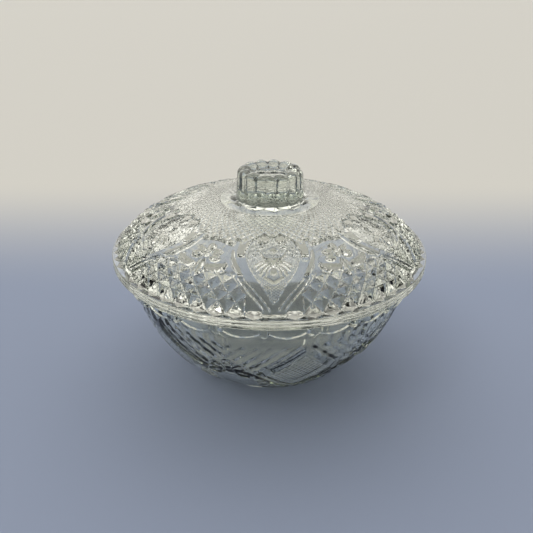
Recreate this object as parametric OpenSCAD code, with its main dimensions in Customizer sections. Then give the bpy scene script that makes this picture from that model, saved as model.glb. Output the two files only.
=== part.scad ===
// Covered candy dish in clear pressed glass.
// A footed bowl carries a domed lid, which lifts straight off by its fluted knob.
// The dish stands on its foot at z = 0 and the z axis runs up through the knob.
// One shield of the lid's pattern faces -y.

/* [Bowl] */
// Height of the bowl's rim, which the lid rests on
rim_z = 67; // [60:0.5:75]
// Outer radius of the plain band round the bowl's mouth
band_r = 79.5; // [77:0.1:81]
// Height of the band
band_h = 5.5; // [3:0.1:9]
// Outer radius of the foot ring
foot_r = 40.5; // [36:0.5:41]
// Height of the foot ring
foot_h = 2; // [1:0.1:4]
// Radius of curvature of the outside of the wall
wall_curve = 84; // [82:0.1:85]
// Thickness of the wall
wall_t = 4; // [3:0.1:5]
// Thickness of the floor
floor_t = 5.5; // [4.5:0.1:8]
// Number of pegs round the band
peg_count = 24; // [12:6:36]
// Radius of one peg
peg_r = 2.1; // [1:0.1:2.5]
// Turn of the bowl's pattern from the lid's, in degrees
bowl_turn = 12; // [0:1:59]

/* [Lid] */
// Outer radius of the lid's rim
lid_r = 84.5; // [82:0.1:88]
// Height of the rim's ridged edge
lid_edge_h = 4.5; // [3:0.1:6]
// Height of the dome's crown above the bowl's rim, without the knob
dome_h = 29.4; // [26:0.1:34]
// Thickness of the lid
lid_t = 4; // [3:0.1:5]
// Depth of the locating ring under the lid
ring_h = 3.2; // [2:0.1:5]
// Gap all round between the locating ring and the bowl's mouth
ring_gap = 1.2; // [0.5:0.1:2]

/* [Knob] */
// Height of the knob above the dome's crown
knob_h = 16.3; // [12:0.1:22]
// Radius of the knob over its flutes
knob_r = 18; // [14:0.1:20]
// Number of flutes
flute_count = 12; // [8:1:16]
// Turn of the flutes from the lid's pattern, in degrees
knob_turn = 5; // [0:1:29]

/* [Pattern] */
// Number of shields round the lid and of kites round the bowl
motif_count = 6; // [4:1:7]
// How far the pattern stands out of the glass
relief = 1.2; // [0.6:0.1:1.5]

/* [Hidden] */
$fn = 96;
front = -90;
glass = [0.78, 0.85, 0.80, 0.55];

// The wall of the bowl is an arc about a point just beyond the axis
wall_cx = -8;
wall_cz = 70;
wall_steps = 16;
band_z = rim_z - band_h;
foot_w = 4;
foot_hollow = 1.2;
edge_round = 0.8;

// Kites stand on the wall this far below the wall's centre, seen from there
kite_tilt = 30;
kite_w = 23;
kite_h = 23;
kite_border = 0.9;
kite_panel = 0.75;
skin_z = foot_h + 1;

// Pegs stand a little into the band, and swags hang between them
peg_sunk = 0.35;
peg_root = 1;
swag_drop = 2.3;
swag_r = 12;

// The dome falls from its crown along a flattened ellipse
dome_r = lid_r;
dome_power = 2.5;
dome_drop = 2.6;
dome_steps = 18;
collar_r = 26.3;
dome_edge_r = lid_r - 3;
ridge_count = 3;
ridge_h = lid_edge_h / ridge_count;
ridge_depth = 0.5;
ring_w = 2.8;
seat_z = rim_z + 0.02;
mouth_r = wall_r(rim_z - edge_round, wall_curve - wall_t);
ring_r = mouth_r - ring_gap;

// Shields have a field inside a frame, and both narrow from the knob to the rim
field_top = 44;
field_tip = 78.5;
field_angle = 12.3;
frame_top = 41;
frame_tip = 81;
frame_w = 1;
frame_angle = 19;
frame_hole_angle = 15.5;
shield_steps = 14;
shield_power = 0.55;

knob_z = dome_top(collar_r, 0);
knob_root = 1;
knob_top = rim_z + dome_h + knob_h;
knob_round = 4.4;
flute_r = 5.8;
dish_r = 9.4;
dish_h = 1.8;
knob_taper = 0.5;
flute_trim = 0.3;

// Radius of the bowl's wall at height z, for an arc of radius c
function wall_r(z, c) = wall_cx + sqrt(c * c - (wall_cz - z) * (wall_cz - z));

// Points up one face of the bowl's wall from height z0 to z1
function wall_line(z0, z1, c) = [
    for (i = [0:wall_steps]) let (z = z0 + (z1 - z0) * i / wall_steps) [wall_r(z, c), z]
];

// Height of the dome at radius r, sunk by s below its highest relief
function dome_top(r, s) = rim_z - dome_drop - s
    + (dome_h + dome_drop) * sqrt(1 - pow(r / (dome_r + relief - s), dome_power));

// Points down the dome from radius r0 to r1, closer together where it turns down
function dome_line(r0, r1, s) = [
    for (i = [0:dome_steps]) let (r = r0 + (r1 - r0) * sin(90 * i / dome_steps)) [r, dome_top(r, s)]
];

// A quarter round about [x, z] from angle a0 to a1
function round_line(x, z, r, a0, a1) = [
    for (i = [0:6]) let (a = a0 + (a1 - a0) * i / 6) [x + r * cos(a), z + r * sin(a)]
];

function reversed(line) = [for (i = [len(line) - 1:-1:0]) line[i]];

module round_motifs(count) {
    for (i = [0:count - 1]) rotate([0, 0, front + i * 360 / count]) children();
}

// Bowl

module bowl_body() {
    rotate_extrude()
        polygon(concat(
            [[0, foot_hollow], [foot_r - foot_w - foot_hollow, foot_hollow], [foot_r - foot_w, 0]],
            [[foot_r - edge_round, 0], [foot_r, edge_round], [foot_r, foot_h]],
            wall_line(foot_h, band_z, wall_curve),
            [[band_r - edge_round, band_z]],
            [[band_r, band_z + edge_round], [band_r, rim_z - edge_round]],
            [[band_r - edge_round, rim_z], [mouth_r + edge_round, rim_z]],
            reversed(wall_line(floor_t, rim_z - edge_round, wall_curve - wall_t)),
            [[0, floor_t]]
        ));
}

// Upright pegs with blunt lower ends, each joined to the wall behind it
module pegs() {
    intersection() {
        rotate_extrude()
            polygon([
                [mouth_r + peg_root, band_z - peg_r], [band_r, band_z - peg_r],
                [band_r + peg_r, band_z], [band_r + peg_r, rim_z - edge_round],
                [mouth_r + peg_root, rim_z - edge_round]
            ]);
        linear_extrude(rim_z) {
            circle(r = mouth_r + 2 * peg_root);
            round_motifs(peg_count) {
                translate([0, -peg_r]) square([band_r - peg_sunk, peg_r * 2]);
                translate([band_r - peg_sunk, 0]) circle(r = peg_r);
            }
        }
    }
}

// Outline of a kite, x across and y up
module kite(size) {
    polygon([[0, -kite_h * size], [kite_w * size, 0], [0, kite_h * size], [-kite_w * size, 0]]);
}

// The thin skin of the wall that the bowl's relief is cut from
module wall_skin() {
    rotate_extrude()
        polygon(concat(
            wall_line(skin_z, band_z, wall_curve + relief),
            reversed(wall_line(skin_z, band_z, wall_curve - relief))
        ));
}

module kites() {
    intersection() {
        wall_skin();
        round_motifs(motif_count)
            translate([wall_cx, 0, wall_cz])
                rotate([0, 90 + kite_tilt, 0])
                    translate([0, 0, wall_curve / 2])
                        linear_extrude(wall_curve)
                            rotate(90) {
                                difference() {
                                    kite(1);
                                    kite(kite_border);
                                }
                                kite(kite_panel);
                            }
    }
}

// The round lower edges of the band, which hang between the pegs
module swags() {
    intersection() {
        rotate_extrude()
            translate([mouth_r + peg_root, band_z - swag_drop])
                square([band_r - mouth_r - peg_root, swag_drop + edge_round * 2]);
        rotate([0, 0, 180 / peg_count]) round_motifs(peg_count)
            translate([mouth_r, 0, band_z - swag_drop + swag_r])
                rotate([0, 90, 0]) cylinder(h = 2 * (band_r - mouth_r), r = swag_r);
    }
}

module bowl() {
    color(glass) rotate([0, 0, bowl_turn]) {
        bowl_body();
        kites();
        swags();
        pegs();
    }
}

// Lid

module lid_body() {
    inside_r = ring_r - ring_w;
    rotate_extrude()
        polygon(concat(
            dome_line(0, inside_r, relief + lid_t),
            [[inside_r, rim_z - ring_h], [ring_r - edge_round, rim_z - ring_h]],
            [[ring_r, rim_z - ring_h + edge_round], [ring_r, seat_z], [lid_r - edge_round, seat_z]],
            [for (i = [0:ridge_count - 1]) each [
                [lid_r, rim_z + (i + 0.25) * ridge_h],
                [lid_r, rim_z + (i + 0.75) * ridge_h],
                [lid_r - ridge_depth, rim_z + (i + 1) * ridge_h]
            ]],
            reversed(dome_line(collar_r, dome_edge_r, relief)),
            [[collar_r, knob_z], [0, knob_z]]
        ));
}

// Outline of a shield that points away from the knob, widest is half its greatest angle
module shield(top, tip, widest) {
    side = [
        for (i = [0:shield_steps])
            let (t = i / shield_steps, a = widest * sin(180 * pow(t, shield_power)))
                (top + (tip - top) * t) * [cos(a), sin(a)]
    ];
    polygon(concat(side, [for (i = [shield_steps - 1:-1:1]) [side[i].x, -side[i].y]]));
}

// The thin skin of the dome that the lid's relief is cut from
module dome_skin() {
    rotate_extrude()
        polygon(concat(
            dome_line(collar_r, dome_edge_r, 0),
            reversed(dome_line(collar_r, dome_edge_r, 2 * relief))
        ));
}

module shields() {
    intersection() {
        dome_skin();
        round_motifs(motif_count) linear_extrude(rim_z + dome_h) {
            shield(field_top, field_tip, field_angle);
            difference() {
                shield(frame_top, frame_tip, frame_angle);
                shield(frame_top + frame_w, frame_tip - frame_w, frame_hole_angle);
            }
        }
    }
}

// The knob's flutes are round columns, trimmed to a rounded, dished top
module knob() {
    column_at = knob_r + flute_trim - flute_r;
    intersection() {
        rotate([0, 0, knob_turn]) translate([0, 0, knob_z - knob_root]) linear_extrude(knob_top)
            union() {
                circle(r = column_at);
                for (i = [0:flute_count - 1])
                    rotate([0, 0, front + (i + 0.5) * 360 / flute_count])
                        translate([column_at, 0]) circle(r = flute_r);
            }
        rotate_extrude()
            polygon(concat(
                [[0, knob_z - knob_root], [knob_r, knob_z - knob_root]],
                round_line(knob_r - knob_taper - knob_round, knob_top - knob_round, knob_round, 0, 90),
                [[dish_r, knob_top - dish_h], [0, knob_top - dish_h]]
            ));
    }
}

module lid() {
    color(glass) {
        lid_body();
        shields();
        knob();
    }
}

bowl();
lid();
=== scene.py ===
"""Looks of the covered candy dish: two pieces of clear pressed glass, with their whole pattern as geometry.

Both pieces are lofts of rings. A ring's azimuth is measured from -Y towards +X, in degrees, so azimuth 0 is
the middle of the front shield. All lengths are in millimetres until a mesh is made.
"""
from math import radians

import bmesh
import bpy
import numpy as np
from mathutils import Matrix, Vector


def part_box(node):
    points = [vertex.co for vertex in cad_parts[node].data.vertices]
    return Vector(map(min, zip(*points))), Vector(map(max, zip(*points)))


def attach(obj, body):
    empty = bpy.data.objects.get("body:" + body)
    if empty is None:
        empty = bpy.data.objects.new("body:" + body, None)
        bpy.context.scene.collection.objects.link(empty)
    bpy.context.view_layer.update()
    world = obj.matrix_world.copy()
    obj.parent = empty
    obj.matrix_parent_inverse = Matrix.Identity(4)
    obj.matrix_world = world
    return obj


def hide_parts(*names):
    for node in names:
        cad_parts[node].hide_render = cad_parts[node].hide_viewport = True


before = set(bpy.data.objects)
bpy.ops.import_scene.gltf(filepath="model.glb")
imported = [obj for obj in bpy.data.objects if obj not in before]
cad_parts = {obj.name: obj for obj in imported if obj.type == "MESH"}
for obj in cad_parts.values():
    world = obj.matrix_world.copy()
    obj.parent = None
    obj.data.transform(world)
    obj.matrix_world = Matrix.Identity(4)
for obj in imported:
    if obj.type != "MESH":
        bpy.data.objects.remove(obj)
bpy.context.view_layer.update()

MM = 0.001
FINE_COUNT = 1080  # columns in a ring of the lid's shields, sprays and large diamonds
PATTERN_COUNT = 720  # columns in a ring of the lid's small points or the bowl's pattern
PLAIN_COUNT = 180  # columns in a plain ring
KNOB_COUNT = 240  # columns in a ring of the knob
CREASE = radians(32)  # faces that meet at more than this angle keep a crisp edge

# Driving dimensions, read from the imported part
lid_low, lid_high = (np.array(corner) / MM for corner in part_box("lid"))
bowl_high = np.array(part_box("bowl")[1]) / MM
RIM_R = lid_high[0]
RIM_Z = bowl_high[2]
TOP_Z = lid_high[2]
RING_Z = lid_low[2]  # lower edge of the lid's locating ring
SEAT_GAP = 0.15  # the lid's seat stands this far above the bowl's rim, so that the two don't meet

# Lid
SECTOR = 60.0  # one shield and half a spray on each side of it
# The dome falls along a flattened ellipse, DOME_H tall, from the axis to DOME_DROP below the rim
DOME_DROP, DOME_H, DOME_POWER = 2.8, 32.3, 2.5
RELIEF = 1.8  # from the plain ground to the highest relief
COLLAR_R = RIM_R - 58.2  # outside of the plain collar round the knob
RECESS = 3.95  # depth of the recess in the knob's top
LEDGE_R = RIM_R - 0.8  # outer edge of the rim's top
EDGE_H = 4.5  # height of the rim's ridged edge
RIDGE_COUNT = 3
GLASS_T = 4.0  # from the plain ground to the inside
RING_OUTER_R, RING_INNER_R = 70.8, 67.9  # outside and inside of the locating ring

# Bowl
BOWL_TURN = 12.0  # turn of the bowl's pattern from the lid's, in degrees
WALL_CX, WALL_CZ = -8.0, RIM_Z + 3.0  # centre of the wall's arc
WALL_C = 84.0  # radius of the wall's arc outside, at its plain ground
TOP_C = WALL_C + 1.2  # radius of an arc just outside its relief
WALL_T = 4.0
FLOOR_Z = 5.5  # height of the floor's edge inside
FLOOR_DISH = 0.3  # how far the floor's middle lies below its edge
BAND_R = RIM_R - 5.0  # outside of the band round the mouth
BAND_Z = RIM_Z - 5.5  # lower edge of the band, at the pegs
BAND_DEPTH = 3.6  # how far the band stands out of the wall behind it
PEG_STEP = 15.0  # from one peg to the next, in degrees
PEG_R = 2.1
SWAG_R, SWAG_DROP = 17.2, 2.3  # radius of a swag, and how far it hangs below the band
MOUTH_ROUND = 1.4  # rounding of the mouth's outer edge
FOOT_R = RIM_R - 44.0
FOOT_HOLLOW = 1.2  # depth of the hollow inside the foot ring


# Small helpers

def wrap(angle, period):
    """Angle brought into half a period each side of zero."""
    return (angle + period / 2) % period - period / 2


def ramp(x, low, high):
    """Smooth step from 0 at low to 1 at high."""
    t = np.clip((x - low) / (high - low), 0, 1)
    return t * t * (3 - 2 * t)


def pad(x, y, centre, size, tilt=0.0):
    """Raised oval with steep sides and a slightly domed top, 1 at its middle."""
    out = ellipse(x, y, centre, size, tilt)
    return ramp((1 - out) * min(size), 0, 0.75) * (1 - 0.3 * np.clip(out, 0, 1) ** 2)


def stroke(x, y, start, corner, end, half):
    """Rounded ridge of that half width along a bend from start to end."""
    line = [start] + bend(start, corner, end, 8)
    away = np.min([line_distance(x, y, a, b) for a, b in zip(line, line[1:])], axis=0)
    return mound(away, half)


def mound(distance, reach):
    """Rounded ridge or button: 1 at distance 0, 0 from reach outwards, steep at its foot."""
    return np.clip(1 - (distance / reach) ** 2, 0, 1) ** 0.6


def line_distance(x, y, start, end):
    """Distance from the points to a straight stroke."""
    direction = np.subtract(end, start)
    along = ((x - start[0]) * direction[0] + (y - start[1]) * direction[1]) / (direction @ direction)
    along = np.clip(along, 0, 1)
    return np.hypot(x - start[0] - along * direction[0], y - start[1] - along * direction[1])


def ellipse(x, y, centre, size, tilt=0.0):
    """Distance from an ellipse's middle, 1 on its outline."""
    turn = radians(tilt)
    dx, dy = x - centre[0], y - centre[1]
    across = dx * np.cos(turn) + dy * np.sin(turn)
    up = dy * np.cos(turn) - dx * np.sin(turn)
    return np.hypot(across / size[0], up / size[1])


def points_lattice(u, v):
    """Diamond points on a lattice: 1 at a point, where u + v is even, and 0 along the grooves."""
    first = np.abs((u + v) % 2 - 1)
    second = np.abs((u - v) % 2 - 1)
    return np.minimum(first, second)


# Lofts

def turns(count):
    """Azimuths of a ring's columns."""
    return np.arange(count) * 360.0 / count


def ring(radius, height, count):
    """Points of one ring, for a radius and height that are numbers or arrays over its columns."""
    turn = np.radians(turns(count))
    return np.stack([radius * np.sin(turn), -radius * np.cos(turn), height + 0 * turn], -1)


def plain_rings(outline, count):
    """Round rings along an outline of (r, z)."""
    return [ring(r, z, count) for r, z in outline]


def strip(upper, lower, n_up, n_low, falls):
    """Triangles between two rings that start at the indices upper and lower.
    falls says which cells are split the other way. Rings of different counts are zipped together."""
    if n_up == n_low:
        j = np.arange(n_up)
        a, b, d, c = upper + j, upper + (j + 1) % n_up, lower + j, lower + (j + 1) % n_up
        falls = np.zeros(n_up, bool) if falls is None else falls
        first = falls[:, None]
        one = np.where(first, np.stack([a, d, c], -1), np.stack([a, d, b], -1))
        two = np.where(first, np.stack([a, c, b], -1), np.stack([d, c, b], -1))
        return np.concatenate([one, two])
    middles = np.concatenate([(np.arange(n_up) + 0.5) / n_up, (np.arange(n_low) + 0.5) / n_low])
    on_top = np.arange(n_up + n_low) < n_up
    on_top = on_top[np.argsort(middles, kind="stable")]
    i = np.cumsum(on_top) - on_top
    k = np.cumsum(~on_top) - ~on_top
    third = np.where(on_top, upper + (i + 1) % n_up, lower + (k + 1) % n_low)
    return np.stack([upper + i % n_up, lower + k % n_low, third], -1)


def loft(name, start, rings, end):
    """Closed mesh object from a point on the axis, through the rings, to another.
    A ring may come with flags for its cells' splits and for its matt points, which carry the painted
    highlight.
    Faces with three such corners get the second material slot."""
    points = [np.array([[0, 0, start]])]
    satin_highlight = [np.zeros(1, bool)]
    faces = []
    at, count = 0, 1
    for entry in rings:
        ring_points, falls, flags = entry if isinstance(entry, tuple) else (entry, None, None)
        new_at, new_count = at + count, len(ring_points)
        if count == 1:
            j = np.arange(new_count)
            faces.append(np.stack([0 * j, new_at + j, new_at + (j + 1) % new_count], -1))
        else:
            faces.append(strip(at, new_at, count, new_count, falls))
        points.append(ring_points)
        satin_highlight.append(np.zeros(new_count, bool) if flags is None else flags)
        at, count = new_at, new_count
    j = np.arange(count)
    faces.append(np.stack([at + j, at + count + 0 * j, at + (j + 1) % count], -1))
    points.append(np.array([[0, 0, end]]))
    satin_highlight.append(np.zeros(1, bool))
    faces = np.concatenate(faces)
    mesh = bpy.data.meshes.new(name)
    mesh.from_pydata((np.concatenate(points) * MM).tolist(), [], faces.tolist())
    # faces with all corners on the relief's tops take the second slot, the cream glass of the painted
    # highlight
    slots = np.concatenate(satin_highlight)[faces].all(axis=1)
    mesh.polygons.foreach_set("material_index", slots.astype(np.int32))
    mark_creases(mesh)
    made = bpy.data.objects.new(name, mesh)
    bpy.context.scene.collection.objects.link(made)
    return made


def mark_creases(mesh):
    """Smooth shading with crisp edges where two faces meet at more than the crease angle."""
    mesh.shade_smooth()
    shape = bmesh.new()
    shape.from_mesh(mesh)
    for edge in shape.edges:
        edge.smooth = edge.calc_face_angle(0) < CREASE
    shape.to_mesh(mesh)
    shape.free()


def directions(line):
    """Unit vectors along a line of (r, z), one for each point."""
    slope = np.gradient(line, axis=0)
    return slope / np.linalg.norm(slope, axis=1)[:, None]


def patterned_rings(line, depth, count, satin_highlight=None):
    """Rings along line, a list of (r, z), each point sunk by depth(azimuth, r, z) along the line's normal.
    Cells are split along the pattern's creases, and the last argument, given (azimuth, r), says which points
    are matt glass that carries a painted highlight."""
    line = np.array(line, float)
    slope = directions(line)
    normal = np.stack([-slope[:, 1], slope[:, 0]], -1)
    r, z = line[:, 0, None], line[:, 1, None]
    turn = turns(count)[None, :]
    sunk = depth(turn, r, z)
    middle = depth(turn + 180.0 / count, (r[:-1] + r[1:]) / 2, (z[:-1] + z[1:]) / 2)
    a, d = sunk[:-1], sunk[1:]
    b, c = np.roll(a, -1, axis=1), np.roll(d, -1, axis=1)
    falls = np.abs((a + c) / 2 - middle) < np.abs((b + d) / 2 - middle)
    flags = satin_highlight(turn, r) if satin_highlight else np.zeros(sunk.shape, bool)
    rings = []
    for i in range(len(line)):
        points = ring(line[i, 0] - sunk[i] * normal[i, 0], line[i, 1] - sunk[i] * normal[i, 1], count)
        rings.append((points, falls[i - 1] if i else None, flags[i]))
    return rings


def arc(x, z, radius, from_angle, to_angle, steps):
    """Points of an arc in the (r, z) plane, without its first one."""
    angle = np.radians(np.linspace(from_angle, to_angle, steps + 1)[1:])
    return [(x + radius * np.cos(t), z + radius * np.sin(t)) for t in angle]


def bend(start, corner, end, steps):
    """Points of a smooth bend from start to end, pulled towards the corner, without its first one."""
    t = np.linspace(0, 1, steps + 1)[1:, None]
    start, corner, end = (np.array(p, float) for p in (start, corner, end))
    return [tuple(p) for p in (1 - t) ** 2 * start + 2 * t * (1 - t) * corner + t ** 2 * end]


# The lid's pattern
#
# Its functions work on arrays. turn is an azimuth, and angle is the azimuth from a motif's middle, both in
# degrees. x is the distance across from the motif's middle. side and out are angle and x without their signs.
# y is the length along the dome from the collar. Heights are over the plain ground.

def dome_z(r, sunk=0.0):
    """Height of the dome at radius r, over its highest relief or sunk below it."""
    return RIM_Z - DOME_DROP - sunk + DOME_H * np.sqrt(1 - (r / (RIM_R - sunk)) ** DOME_POWER)


def dome_arc(r):
    """Length along the dome from the collar to radius r."""
    at = np.linspace(COLLAR_R, LEDGE_R, 400)
    along = np.concatenate([[0], np.cumsum(np.hypot(np.diff(at), np.diff(dome_z(at))))])
    return np.interp(r, at, along)


SMALL_STEP = 2.5  # half a small diamond, in degrees
SMALL_GROWTH = 0.05  # and in the logarithm of the radius
BIG_STEP = 3.0  # half a large diamond, in degrees
BIG_DROP = 3.1  # and in millimetres of radius
NOTCH_R = RIM_R - 2.5  # tops of the last row of large diamonds, whose outer facets end at the ledge
FLOWER_R = 60.5  # middle of the flower

# Half angles of the shield's parts at these radii
SHIELD_R = [44.0, 50.0, 56.0, 60.0, 64.0, 68.0, 70.0, 72.0, 76.0, 80.0, 82.0]
FIELD_HALF = [9.2, 11.3, 12.4, 11.4, 9.7, 7.2, 5.8, 4.4, 2.1, 0.0, 0.0]
BAR_INNER = [18.6, 18.4, 17.8, 16.3, 13.7, 11.3, 10.2, 8.3, 4.9, 1.5, 0.2]
BAR_OUTER = [19.4, 19.6, 19.6, 18.7, 16.7, 13.8, 13.3, 11.7, 8.2, 4.4, 3.0]
LOBES_HALF = 9.2  # half angle of the lobes at the field's top
FRAME_TOP_R = 46.5  # beside the lobes, the shield's plain ground starts here
BAND = 0.3  # height of the plain band round the field
BAR_END_R = 80.7  # outer ends of the bars
SHIELD_END_R, FACETS_R = 81.2, 81.6  # the shield gives way to the rim's facets between these radii
GAP_HALF = 3.7  # half the plain gap between the facets under a shield's tip, in degrees
SATIN_HIGHLIGHT_FROM = 1.25  # relief higher than this is satin, whose cream glass is a painted highlight


def small_lattice(turn, r):
    """The lattice of the small points, 1 at a point and 0 along the grooves."""
    return points_lattice(turn / SMALL_STEP, np.log(r / COLLAR_R) / SMALL_GROWTH)


def small_points(turn, r):
    """Height of the small diamond points, which grow with the radius."""
    return RELIEF - 0.013 * r * (1 - small_lattice(turn, r)) ** 1.5


def past_notch(r):
    """0 up to the last row of tops, 1 at the ledge."""
    return np.clip((r - NOTCH_R) / (LEDGE_R - NOTCH_R), 0, 1)


def rim_ground(r):
    """Height of the plain ground near the rim, which levels out into the top of the rim."""
    return BAND + (RELIEF - BAND) * past_notch(r)


def big_points(turn, r):
    """Height of the large diamonds: low pyramids with narrow grooves, and facets that point at the ledge."""
    u = turn / BIG_STEP
    lattice = points_lattice(u, (NOTCH_R - r) / BIG_DROP)
    level = 0.55 + (RELIEF - 0.55) * lattice - 0.5 * (1 - ramp(lattice, 0.02, 0.16))
    low = rim_ground(r)
    across = np.abs(wrap(u, 2)) / np.maximum(1 - past_notch(r), 0.01)
    facet = low + (RELIEF - low) * np.clip(1 - across, 0, 1)
    return np.where(r > NOTCH_R, facet, level)


def stipple(angle, r):
    """Fine points that follow the mesh: two columns and one row for half a point."""
    row = np.interp(r, LID_ROWS, np.arange(len(LID_ROWS)))
    return points_lattice(angle * FINE_COUNT / (2 * 360), row)


def field_top(side):
    """Radius at which the field starts, in two lobes."""
    return 43.4 + 2.2 * np.abs(np.cos(np.radians(side * 20))) ** 1.5


def shield_field(x, y, out, grain):
    """Height of the field's lobes, floret, ribbon, fan, boss and chevron over its stippled ground.
    grain is the stipple, from 0 to 1."""
    at = dome_arc  # places are written with their radius, and this gives their y
    level = 0.7 + (0.36 + 0.22 * ramp(y, at(69.0), at(71.5))) * grain
    lobes = pad(out, y, (3.5, at(46.6)), (2.9, 2.9), -12)
    dimple = mound(ellipse(out, y, (3.8, at(46.8)), (1.3, 1.1)), 1)
    level = np.maximum(level, (RELIEF - 0.45 * dimple) * lobes)
    curl = stroke(out, y, (6.0, at(45.4)), (7.6, at(47.8)), (5.0, at(50.0)), 0.8)
    level = np.maximum(level, 1.6 * curl)
    floret = np.clip(1.6 - (out / 2.9 + np.abs(y - at(54.0)) / 2.6) * 1.3, 0, 1)
    level = np.maximum(level, 0.6 + 1.0 * floret)
    for centre, size, tilt in (
        ((4.9, 52.2), (2.4, 0.9), 30),
        ((6.6, 54.6), (2.2, 0.9), -25),
        ((8.9, 57.4), (1.9, 0.8), 35),
    ):
        level = np.maximum(level, 1.6 * pad(out, y, (centre[0], at(centre[1])), size, tilt))
    level = np.maximum(level, 1.65 * stroke(out, y, (0, at(59.3)), (4.0, at(60.3)), (5.4, at(56.2)), 0.85))
    for start, corner, end, half in (
        ((0, 60.7), (5.0, 60.4), (8.0, 63.4), 0.75),
        ((0, 61.7), (4.6, 61.5), (7.1, 65.4), 0.75),
        ((0, 62.6), (3.9, 62.9), (5.9, 67.6), 0.75),
        ((0, 63.5), (2.9, 63.9), (3.5, 67.9), 0.6),
    ):
        rib = [(across, at(radius)) for across, radius in (start, corner, end)]
        fan = stroke(out, y, *rib, half)
        level = np.maximum(level * (1 - ramp(fan, 0, 0.2)), 0.5 + 1.25 * fan)
    level = np.maximum(level, RELIEF * pad(x, y, (0, at(66.0)), (2.1, 2.7)))
    chevron = stroke(out, y, (0, at(71.2)), (1.6, at(70.2)), (4.2, at(68.9)), 1.0)
    return np.maximum(level, 1.7 * chevron)


def shield_height(angle, x, r, y):
    """Height of a whole shield: the field, the band and points round it, the crescents and the bars.
    angle is from the shield's middle in degrees, x the same in millimetres, and y is the dome's arc at r."""
    side, out = np.abs(angle), np.abs(x)
    per_degree = np.radians(r)
    half, inner, outer = (np.interp(r, SHIELD_R, table) for table in (FIELD_HALF, BAR_INNER, BAR_OUTER))
    in_bar = np.minimum(side - inner, outer - side) * per_degree
    crescent = ramp(in_bar, 0, 0.6) * ramp(r, 55.2, 56.2) * (1 - ramp(r, 67.9, 68.7))
    rims = 0.55 + 0.45 * (1 - ramp(in_bar, 0.7, 1.1))
    bars = rims * ramp(in_bar, 0, 0.35) * ramp(r, 69.3, 69.9) * (1 - ramp(r, BAR_END_R, SHIELD_END_R))
    in_sliver = np.minimum(np.minimum(side - half - 0.4, inner - 0.6 - side) * per_degree, 58.7 - r)
    blank = ramp(r, 50.5, 52.5)
    sliver = ramp(in_sliver, 0, 0.6) * (small_points(angle, r) * (1 - blank) + 1.55 * blank)
    level = np.maximum(np.maximum(BAND, sliver), RELIEF * np.maximum(crescent, bars))
    in_field = np.minimum(np.minimum((half - side) * per_degree, r - field_top(side)), 79.4 - r)
    field = ramp(in_field, -0.2, 0.25)
    return level * (1 - field) + shield_field(x, y, out, stipple(angle, r)) * field


def spray(angle, r, y):
    """Height of the flower, stem and leaves that stand on the plain ground between two shields."""
    x = np.radians(angle) * r
    up = dome_arc(FLOWER_R) - y
    out = np.abs(x)
    level = 0 * x
    for lean in (0, 58, 104):
        t = radians(lean)
        petal = pad(out, up, (4.9 * np.sin(t), 4.6 * np.cos(t)), (2.2, 3.2), -lean)
        crease = stroke(out, up, (1.6 * np.sin(t), 1.6 * np.cos(t)), (3 * np.sin(t), 3 * np.cos(t)),
                        (6.2 * np.sin(t), 5.8 * np.cos(t)), 0.6)
        level = np.maximum(level, 1.75 * petal - 0.45 * crease * (petal > 0.5))
    level = np.maximum(level, RELIEF * mound(np.hypot(x, up), 1.3))
    blade = pad(x, up, (0, -8.2), (2.2, 6.8))
    level = np.maximum(level, 1.7 * blade - 0.5 * mound(x, 0.55) * (blade > 0.6))
    teeth = 0.10 * np.cos(out * 2 * np.pi / 1.9) * ramp(out, 7.0, 9.0)
    boat = ellipse(out, up, (7.4, -5.4), (5.6, 4.6), 12) + teeth
    deck = ramp(-5.0 + 0.25 * (out - 5.0) - up, 0, 0.6)
    leaf = ramp((1 - boat) * 4, 0, 0.75) * deck
    groove = mound(up + 7.0 - 0.2 * (out - 7), 0.5) * (np.abs(out - 7) < 3)
    level = np.maximum(level, 1.7 * leaf - 0.4 * groove * leaf)
    tip = pad(out, up, (11.0, -3.4), (1.9, 0.8), 50)
    return np.maximum(level, 1.5 * tip)


def lid_height(turn, r):
    """Height of the lid's relief over its plain ground."""
    angle, between = wrap(turn, SECTOR), wrap(turn - SECTOR / 2, SECTOR)
    side = np.abs(angle)
    per_degree = np.radians(r)
    x, y = np.radians(angle) * r, dome_arc(r)

    # Small points give way to the spray's plain ground at a scalloped row of beads
    ground_r = 51.3 - 0.9 * np.cos(np.radians(between * 180 / 11.5))
    bead = np.cos(np.radians(between * 360 / 3.9)) * 0.5 + 0.5
    bead_row = mound(r - ground_r + 0.9, 1.15) * (0.35 + 0.65 * bead) * (np.abs(between) < 11.6)
    open_ground = ramp(r, ground_r - 1.2, ground_r - 0.4)
    level = small_points(turn, r) * (1 - open_ground) + spray(between, r, y) * open_ground
    level = np.maximum(level, RELIEF * bead_row)
    diamonds_at = ramp(r, 66.5, 69.0)
    level = np.maximum(level, big_points(turn, r) * diamonds_at)

    # The shield takes over inside its frame and inside the lobes at its top
    outer = np.interp(r, SHIELD_R, BAR_OUTER)
    in_top = r - field_top(side)
    in_top = np.where(side < LOBES_HALF, in_top, -np.hypot(in_top, (side - LOBES_HALF) * per_degree))
    in_frame = np.minimum((outer + 0.5 - side) * per_degree, r - FRAME_TOP_R - 1.5 * ramp(side, 12, 19))
    owned = np.maximum(ramp(in_frame, -0.2, 0.3), ramp(in_top, -0.7, -0.3))
    past_shield = ramp(r, SHIELD_END_R, FACETS_R)
    owned *= 1 - past_shield
    level = level * (1 - owned) + shield_height(angle, x, r, y) * owned
    gap = (side < GAP_HALF) * past_shield
    return level * (1 - gap) + rim_ground(r) * gap


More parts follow.
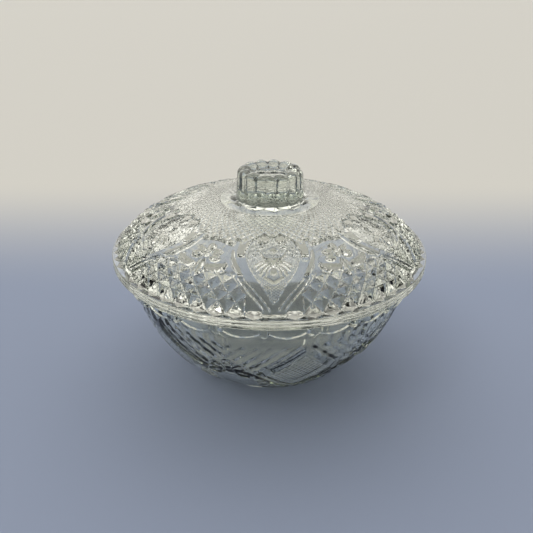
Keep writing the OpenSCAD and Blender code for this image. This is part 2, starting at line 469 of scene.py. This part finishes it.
def lid_satin_highlight(turn, r):
    """Where the lid is matt cream glass as a painted highlight: the tops of the relief and of the small
    points, and the rim's outer facets.
    """
    angle, between = wrap(turn, SECTOR), wrap(turn - SECTOR / 2, SECTOR)
    side = np.abs(angle)
    half, outer = (np.interp(r, SHIELD_R, table) for table in (FIELD_HALF, BAR_OUTER))
    in_shield = side < outer + 0.5
    height = np.where(in_shield | (r < 66), lid_height(turn, r), spray(between, r, dome_arc(r)))
    # The small points end here at a lobe, at a shield's frame and at a spray's beads
    start = np.where(side < 9.5, field_top(side), np.where(in_shield, FRAME_TOP_R, 49.5))
    bars = in_shield & (side > half) & (r > 69)
    tops = (height > SATIN_HIGHLIGHT_FROM) & (r > start) & (r < 80.5) & ~bars
    small = (r < start) & (small_lattice(turn, r) > 0.2)
    across = np.abs(wrap(turn / BIG_STEP, 2))
    ends = (r > NOTCH_R - 0.4) & (across < 0.8 * (1 - past_notch(r)) + 0.03) & (side > GAP_HALF)
    return tops | small | ends


def lid_depth(turn, r, _z):
    """How far the lid's surface lies under its highest relief."""
    return (RELIEF - lid_height(turn, r)) * ramp(r, COLLAR_R, COLLAR_R + 0.5)


# The lid

def knob_rings():
    """Fluted knob, from the recess in its top down to the collar."""
    knob_r, taper, shoulder = 18.0, 0.5, 4.4
    flutes, flute_r, turn_by = 12, 5.7, 5.0
    fade_in, fade_out = 9.5, 11.0  # the flutes deepen between these radii, from the edge of the recess
    foot_z = float(dome_z(COLLAR_R))
    crest_r = knob_r - taper - shoulder
    line = [(3.0, TOP_Z - 3.9), (6.0, TOP_Z - 3.8), (8.0, TOP_Z - 3.7)]
    line += bend(line[-1], (9.8, TOP_Z - 3.6), (10.3, TOP_Z - 2.2), 6)
    line += bend(line[-1], (10.9, TOP_Z), (crest_r, TOP_Z), 7)
    line += arc(crest_r, TOP_Z - shoulder, shoulder, 90, 0, 14)
    line += [tuple(p) for p in np.linspace(line[-1], (knob_r, foot_z + 1.5), 14)[1:]]
    line += bend(line[-1], (knob_r, foot_z), (knob_r + 1.2, foot_z), 6)
    line = np.array(line)
    from_column = np.radians(wrap(turns(KNOB_COUNT) - turn_by - 180 / flutes, 360 / flutes))
    centre = knob_r - flute_r
    reach = centre * np.cos(from_column) + np.sqrt(flute_r ** 2 - (centre * np.sin(from_column)) ** 2)
    groove = knob_r - reach
    rings = []
    for (r, z), (dr, dz) in zip(line, directions(line)):
        cut = groove * ramp(r, fade_in, fade_out)
        rings.append(ring(r + dz * cut, z - dr * cut, KNOB_COUNT))
    return rings


def lid_rows():
    """Radii of the rows that carry the lid's pattern, in step with its two lattices."""
    small_rows, big_rows, step = 3, 6, 0.46  # rows in half a diamond of each lattice, and between the two
    fine = COLLAR_R * np.exp(np.arange(0, 40) * SMALL_GROWTH / small_rows)
    coarse = NOTCH_R - np.arange(30, -1, -1) * BIG_DROP / big_rows
    between = np.linspace(fine[-1], coarse[0], int((coarse[0] - fine[-1]) / step))[1:-1]
    end = np.linspace(NOTCH_R, LEDGE_R, 6)[1:]
    return np.concatenate([fine, between, coarse, end])


LID_ROWS = lid_rows()


def lid_top():
    """Rings of the dome's outside, from the collar to the rim's ridged edge."""
    foot_z = float(dome_z(COLLAR_R))
    collar = plain_rings([(21.5, foot_z + 0.05), (24.0, foot_z + 0.1), (25.6, foot_z + 0.05)], KNOB_COUNT)
    edge_top = RIM_Z + EDGE_H
    heights = dome_z(np.minimum(LID_ROWS, NOTCH_R))
    heights -= (heights[-1] - edge_top - 0.1) * past_notch(LID_ROWS)
    line = list(zip(LID_ROWS, heights))
    fine_from = int(np.searchsorted(LID_ROWS, 43.0))  # the shields start just outside this radius
    inner = patterned_rings(line, lid_depth, PATTERN_COUNT, lid_satin_highlight)[:fine_from]
    outer = patterned_rings(line, lid_depth, FINE_COUNT, lid_satin_highlight)[fine_from:]
    return collar + inner + outer


def edge_ridges():
    """Outline of the rim's edge: round ridges, one below the other."""
    ridge_h = EDGE_H / RIDGE_COUNT
    outline = []
    for i in range(RIDGE_COUNT - 1, -1, -1):
        middle = RIM_Z + (i + 0.5) * ridge_h
        for t in np.linspace(80, -80, 7):
            bulge = 0.5 * np.cos(radians(t))
            outline.append((RIM_R - 0.5 + bulge, middle + ridge_h / 2 * np.sin(radians(t))))
    return outline


def lid_underside():
    """Outline from the rim's edge over the seat and the locating ring, and up the inside of the dome."""
    seat = RIM_Z + SEAT_GAP
    sunk = RELIEF + GLASS_T
    outer_r, inner_r = RING_OUTER_R, RING_INNER_R
    outline = [(RIM_R - 0.8, seat), (RIM_R - 6, seat), (72.0, seat)]
    outline += bend(outline[-1], (outer_r, seat), (outer_r, seat - 1.2), 4)
    outline += bend((outer_r, RING_Z + 0.8), (outer_r, RING_Z), (outer_r - 0.8, RING_Z), 4)
    outline += bend((68.6, RING_Z), (inner_r, RING_Z), (inner_r, RING_Z + 0.8), 4)
    inside_z = float(dome_z(65.5, sunk))
    outline += bend((inner_r, RING_Z + 4), (67.6, float(dome_z(66, sunk)) - 3), (65.5, inside_z), 6)
    inside = 65.0 * np.sin(np.radians(np.linspace(84, 2, 30)))
    return outline + [(r, float(dome_z(r, sunk))) for r in inside]


def make_lid():
    """The lid with its knob, closed over the middle of the dome's inside."""
    rings = knob_rings() + lid_top() + plain_rings(edge_ridges() + lid_underside(), PLAIN_COUNT)
    return loft("lid_glass", TOP_Z - RECESS, rings, float(dome_z(0, RELIEF + GLASS_T)))


# The bowl's pattern

def wall_r(z, c):
    """Radius of the wall at height z, for an arc of radius c."""
    return WALL_CX + np.sqrt(c * c - (WALL_CZ - z) ** 2)


def wall_arc(z):
    """Length up the wall's arc from the table to height z."""
    return WALL_C * (np.arcsin(WALL_CZ / WALL_C) - np.arcsin((WALL_CZ - z) / WALL_C))


KITE_ARC = 39.4  # kites are widest this far up the wall
KITE_W, KITE_H = 23.6, 24.8  # half a kite's width and height
KITE_REACH = 16  # about how far a kite's sides are from its middle
PANEL_W, PANEL_H = 18.0, 18.0  # half the width and height of its latticed panel
PANEL_REACH = 12.5  # about how far the panel's sides are from its middle
BEVEL_W = 3.3  # width of the bevel round a kite
PALM_ARC = 40.0  # the palm between two kites has its middle this far up the wall


def palm_height(side, up):
    """Height of a palm of hollow petals round a button, up from its middle and to each side."""
    palm = 0 * side
    for lean in (0, 52, 104):
        t = radians(lean)
        petal = ellipse(side, up, (7.2 * np.sin(t), 7.2 * np.cos(t)), (2.9, 5.0), -lean)
        inside = (1 - petal) * 2.9
        palm = np.maximum(palm, ramp(inside, 0, 0.6) * (1.15 - 0.95 * ramp(inside, 0.9, 1.5)))
    return np.maximum(palm, 1.15 * mound(np.hypot(side, up), 2.4))


def between_kites(turn, r, along):
    """Height of the slanted ribs, the palm that they meet round, and the fine flutes above them."""
    side = np.abs(np.radians(wrap(turn - BOWL_TURN - SECTOR / 2, SECTOR))) * r
    up = along - PALM_ARC
    wave = 0.4 * np.cos(side * 2 * np.pi / 5.0)
    fold = ((along - 0.95 * side + wave) / 6.2) % 1
    ribs = 0.45 + 0.45 * ramp(fold, 0, 0.55) * (1 - ramp(fold, 0.6, 1.0))
    in_palm = 1 - ramp(np.hypot(side, np.maximum(up, -3)), 11.6, 12.6)
    ribs = ribs * (1 - in_palm) + (0.3 + 0.65 * palm_height(side, up)) * in_palm
    top = ramp(along, 60.5, 64.0)
    flutes = 0.35 + 0.25 * np.cos(np.radians(turn - BOWL_TURN) * 72)
    return ribs * (1 - top) + flutes * top


def bowl_height(turn, r, z):
    """Height of the bowl's relief over the wall's plain arc. It fades out towards the foot."""
    along = wall_arc(z)
    x = np.radians(wrap(turn - BOWL_TURN, SECTOR)) * r
    y = along - KITE_ARC
    outer = (1 - np.abs(x) / KITE_W - np.abs(y) / KITE_H) * KITE_REACH
    panel = (1 - np.abs(x) / PANEL_W - np.abs(y) / PANEL_H) * PANEL_REACH
    in_kite = ramp(outer, -0.3, 0.3)
    bevel = 0.05 + 1.0 * np.clip(outer / BEVEL_W, 0, 1)
    level = between_kites(turn, r, along) * (1 - in_kite) + bevel * in_kite
    in_panel = ramp(panel, 0.6, 1.0)
    fine = 0.72 + 0.2 * points_lattice(x / 1.5, y / 1.5)
    level = level * (1 - in_panel) + fine * in_panel + 0.15 * mound(panel - 0.5, 0.6)
    return level * ramp(z, 3.0, 8.0)


def bowl_depth(turn, r, z):
    """How far the bowl's outside lies inside the arc of radius TOP_C."""
    return (TOP_C - WALL_C) - bowl_height(turn, r, z)


def mouth_radius(turn, z):
    """Radius of the outside near the mouth, where the band, swags and pegs stand on the wall."""
    plain = wall_r(z, WALL_C)
    wall = plain + bowl_height(turn, plain, z) * (1 - ramp(z, BAND_Z - 5.5, BAND_Z - 4))
    from_peg = np.radians(wrap(turn - BOWL_TURN, PEG_STEP)) * BAND_R
    from_middle = np.radians(wrap(turn - BOWL_TURN - PEG_STEP / 2, PEG_STEP)) * BAND_R
    swag_z = BAND_Z - SWAG_DROP + SWAG_R - np.sqrt(SWAG_R ** 2 - from_middle ** 2)
    below_swag = 1 - ramp(z, swag_z - 0.9, swag_z + 0.1)
    band = BAND_R - BAND_DEPTH * below_swag + 0.22 * mound(z - swag_z - 0.4, 0.6)
    below = np.maximum(BAND_Z + 0.3 - z, 0)
    peg = BAND_R - 0.4 + np.sqrt(np.clip(PEG_R ** 2 - from_peg ** 2 - below ** 2, 0, None))
    peg = np.where(from_peg ** 2 + below ** 2 < PEG_R ** 2, peg, 0)
    return np.maximum(np.maximum(wall, band), peg)


def bowl_inside():
    """Outline of the bowl's inside, from near the middle of the floor to the top of its rim."""
    inner_c = WALL_C - WALL_T
    floor_r = 33
    outline = [(r, FLOOR_Z - FLOOR_DISH * (1 - (r / floor_r) ** 2)) for r in np.linspace(4, floor_r, 6)]
    outline += bend(outline[-1], (40, FLOOR_Z), (float(wall_r(10, inner_c)), 10), 6)
    outline += [(float(wall_r(z, inner_c)), z) for z in np.linspace(12, RIM_Z - 1.6, 26)]
    mouth = outline[-1][0]
    outline += bend(outline[-1], (mouth + 0.1, RIM_Z), (mouth + 1.6, RIM_Z), 4)
    return outline + [(mouth + 4, RIM_Z), (BAND_R - 1.6, RIM_Z)]


def mouth_rings():
    """Rings down the outside of the mouth, with its band, pegs and swags."""
    turn = turns(PATTERN_COUNT)
    heights = [RIM_Z - 0.12, RIM_Z - 0.5, *np.linspace(RIM_Z - 0.9, BAND_Z - 5.6, 28)]
    rings = []
    for z in heights:
        rounded = (1 - np.sqrt(1 - ramp(z, RIM_Z - MOUTH_ROUND, RIM_Z) ** 2)) * MOUTH_ROUND
        rings.append(ring(mouth_radius(turn, z) - rounded, z, PATTERN_COUNT))
    return rings


def wall_line():
    """Line down the bowl's outside below the band, on the arc of radius TOP_C."""
    top_angle, low_angle = (np.arcsin((WALL_CZ - z) / TOP_C) for z in (BAND_Z - 6.1, 3.2))
    angles = np.linspace(top_angle, low_angle, 90)
    return [(WALL_CX + TOP_C * np.cos(t), WALL_CZ - TOP_C * np.sin(t)) for t in angles]


def foot_outline():
    """Outline of the foot ring and of the shallow hollow inside it."""
    outline = bend((FOOT_R + 0.6, 2.6), (FOOT_R, 2.2), (FOOT_R, 1.0), 3)
    outline += bend(outline[-1], (FOOT_R, 0), (FOOT_R - 1.2, 0), 4)
    outline += [(FOOT_R - 2.8, 0.0)]
    outline += bend(outline[-1], (FOOT_R - 4, 0), (FOOT_R - 5, FOOT_HOLLOW), 4)
    return outline + [(r, FOOT_HOLLOW) for r in (30, 24, 18, 12, 6)]


def make_bowl():
    """The bowl with its foot, closed over the middle of the floor and of the foot's hollow."""
    rings = plain_rings(bowl_inside(), PLAIN_COUNT) + mouth_rings()
    rings += patterned_rings(wall_line(), bowl_depth, PATTERN_COUNT)
    rings += plain_rings(foot_outline(), PLAIN_COUNT)
    return loft("bowl_glass", FLOOR_Z - FLOOR_DISH, rings, FOOT_HOLLOW)


# Materials

def glass_material(name, clearness, roughness, tint, body_tint, density):
    """Pressed glass, tinted at its surface and in its depth, with a faint ripple. Satin, used as a painted
    highlight, is less clear.
    """
    made = bpy.data.materials.new(name)
    made.use_nodes = True
    nodes, links = made.node_tree.nodes, made.node_tree.links
    shader = nodes["Principled BSDF"]
    shader.inputs["Base Color"].default_value = (*tint, 1)
    shader.inputs["Transmission Weight"].default_value = clearness
    shader.inputs["Roughness"].default_value = roughness
    shader.inputs["IOR"].default_value = 1.51
    place = nodes.new("ShaderNodeTexCoord")
    noise = nodes.new("ShaderNodeTexNoise")
    noise.inputs["Scale"].default_value = 160
    noise.inputs["Detail"].default_value = 3
    bump = nodes.new("ShaderNodeBump")
    bump.inputs["Strength"].default_value = 0.03
    bump.inputs["Distance"].default_value = 0.001
    links.new(place.outputs["Object"], noise.inputs["Vector"])
    links.new(noise.outputs["Fac"], bump.inputs["Height"])
    links.new(bump.outputs["Normal"], shader.inputs["Normal"])
    body = nodes.new("ShaderNodeVolumeAbsorption")
    body.inputs["Color"].default_value = (*body_tint, 1)
    body.inputs["Density"].default_value = density
    links.new(body.outputs["Volume"], nodes["Material Output"].inputs["Volume"])
    return made


CLEAR_TINT = (0.98, 0.985, 0.955)
# cream of the less clear satin glass on the lid's relief tops, a painted highlight of the bright surroundings
SATIN_HIGHLIGHT_TINT = (1.0, 0.99, 0.93)
# Tint of the glass's depth, and how strongly it absorbs
LID_BODY = (0.76, 0.84, 0.68), 9
BOWL_BODY = (0.74, 0.88, 0.62), 14


def glaze(lid, bowl):
    """Clear glass on both pieces, and in the lid's second slot matt cream glass that is a painted highlight.
    """
    lid.data.materials.append(glass_material("lid_clear", 1.0, 0.03, CLEAR_TINT, *LID_BODY))
    # matt, less clear cream glass on the relief tops: a painted highlight
    lid.data.materials.append(glass_material("lid_satin_highlight", 0.60, 0.25, SATIN_HIGHLIGHT_TINT, *LID_BODY))
    bowl.data.materials.append(glass_material("bowl_clear", 1.0, 0.05, CLEAR_TINT, *BOWL_BODY))


def floor_material():
    """Matt studio paper, its own pale blue-grey under the dish, with a painted pool of light that makes it
    near-white behind it.
    """
    made = bpy.data.materials.new("pale_floor")
    made.use_nodes = True
    nodes, links = made.node_tree.nodes, made.node_tree.links
    shader = nodes["Principled BSDF"]
    shader.inputs["Roughness"].default_value = 0.85
    painted_light_from, painted_light_to = 0.06, 0.32  # metres behind the dish's axis, over which the painted pool of light comes in
    place = nodes.new("ShaderNodeTexCoord")
    split = nodes.new("ShaderNodeSeparateXYZ")
    fade = nodes.new("ShaderNodeMapRange")
    fade.interpolation_type = "SMOOTHSTEP"
    fade.inputs["From Min"].default_value = painted_light_from
    fade.inputs["From Max"].default_value = painted_light_to
    mix = nodes.new("ShaderNodeMix")
    mix.data_type = "RGBA"
    # the paper's own pale blue-grey, and the near-white of the painted pool of light behind the dish
    mix.inputs["A"].default_value = (0.34, 0.40, 0.55, 1)
    mix.inputs["B"].default_value = (0.80, 0.79, 0.75, 1)
    links.new(place.outputs["Object"], split.inputs["Vector"])
    links.new(split.outputs["Y"], fade.inputs["Value"])
    links.new(fade.outputs["Result"], mix.inputs["Factor"])
    links.new(mix.outputs["Result"], shader.inputs["Base Color"])
    return made


# Stage

WALLS = 0.22  # brightness of the surroundings between the soft lights
# Direction towards each soft light, its half angle and half its soft edge in degrees, and its brightness
SOFTBOXES = (
    ((-0.2, 0.35, 0.9), 44, 12, 0.70),
    ((0.1, 1.0, 0.15), 58, 25, 0.55),
    ((-0.5, -0.35, 0.8), 10, 3, 2.0),
    ((-0.95, 0.1, 0.35), 26, 12, 0.4),
    ((0.9, 0.1, 0.35), 26, 12, 0.36),
)


def make_floor():
    """Wide flat floor, just below the foot."""
    half = 40.0
    mesh = bpy.data.meshes.new("floor")
    corners = [(-half, -half, 0), (half, -half, 0), (half, half, 0), (-half, half, 0)]
    mesh.from_pydata(corners, [], [(0, 1, 2, 3)])
    made = bpy.data.objects.new("floor", mesh)
    made.location.z = -0.0002
    made.data.materials.append(floor_material())
    bpy.context.scene.collection.objects.link(made)


def softbox(tree, view, towards, half_angle, soften, strength):
    """Round soft light in the world, seen in that direction."""
    dot = tree.nodes.new("ShaderNodeVectorMath")
    dot.operation = "DOT_PRODUCT"
    tree.links.new(view, dot.inputs[0])
    dot.inputs[1].default_value = Vector(towards).normalized()
    edge = tree.nodes.new("ShaderNodeMapRange")
    edge.interpolation_type = "SMOOTHSTEP"
    edge.inputs["From Min"].default_value = np.cos(radians(half_angle + soften))
    edge.inputs["From Max"].default_value = np.cos(radians(half_angle - soften))
    edge.inputs["To Max"].default_value = strength
    tree.links.new(dot.outputs["Value"], edge.inputs["Value"])
    return edge.outputs["Result"]


def make_world():
    """Soft studio surroundings: dim walls with soft lights overhead, behind and on both sides."""
    world = bpy.data.worlds.new("studio")
    bpy.context.scene.world = world
    world.use_nodes = True
    tree = world.node_tree
    view = tree.nodes.new("ShaderNodeTexCoord").outputs["Generated"]
    total = None
    for box in SOFTBOXES:
        glow = softbox(tree, view, *box)
        if total is None:
            total = glow
            continue
        add = tree.nodes.new("ShaderNodeMath")
        tree.links.new(total, add.inputs[0])
        tree.links.new(glow, add.inputs[1])
        total = add.outputs["Value"]
    walls = tree.nodes.new("ShaderNodeMath")
    walls.inputs[1].default_value = WALLS
    tree.links.new(total, walls.inputs[0])
    background = tree.nodes["Background"]
    background.inputs["Color"].default_value = (1.0, 0.975, 0.92, 1)
    tree.links.new(walls.outputs["Value"], background.inputs["Strength"])


def make_camera():
    """Camera at the photograph's angle, placed in metres and turned about the dish's axis."""
    away, high, aside = 0.2712, 0.193, -0.0014
    turn, pitch, roll = radians(-1.5), radians(27.1), radians(0.58)
    camera = bpy.data.objects.new("camera", bpy.data.cameras.new("camera"))
    camera.data.sensor_width = 36
    camera.data.lens = 36.07
    camera.data.clip_start = 0.01
    about = Matrix.Rotation(turn, 4, "Z")
    camera.matrix_world = (
        Matrix.Translation(about @ Vector((aside, -away, high)))
        @ about
        @ Matrix.Rotation(radians(90) - pitch, 4, "X")
        @ Matrix.Rotation(roll, 4, "Z")
    )
    bpy.context.scene.collection.objects.link(camera)
    bpy.context.scene.camera = camera


# Assembly

lid = make_lid()
bowl = make_bowl()
glaze(lid, bowl)
for made, node in ((lid, "lid"), (bowl, "bowl")):
    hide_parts(node)
    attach(made, node)

make_floor()
make_world()
make_camera()
cycles = bpy.context.scene.cycles
cycles.max_bounces = 24  # enough to see through the four walls of glass and their relief
cycles.transmission_bounces = 24
bpy.context.scene.view_settings.view_transform = "Standard"
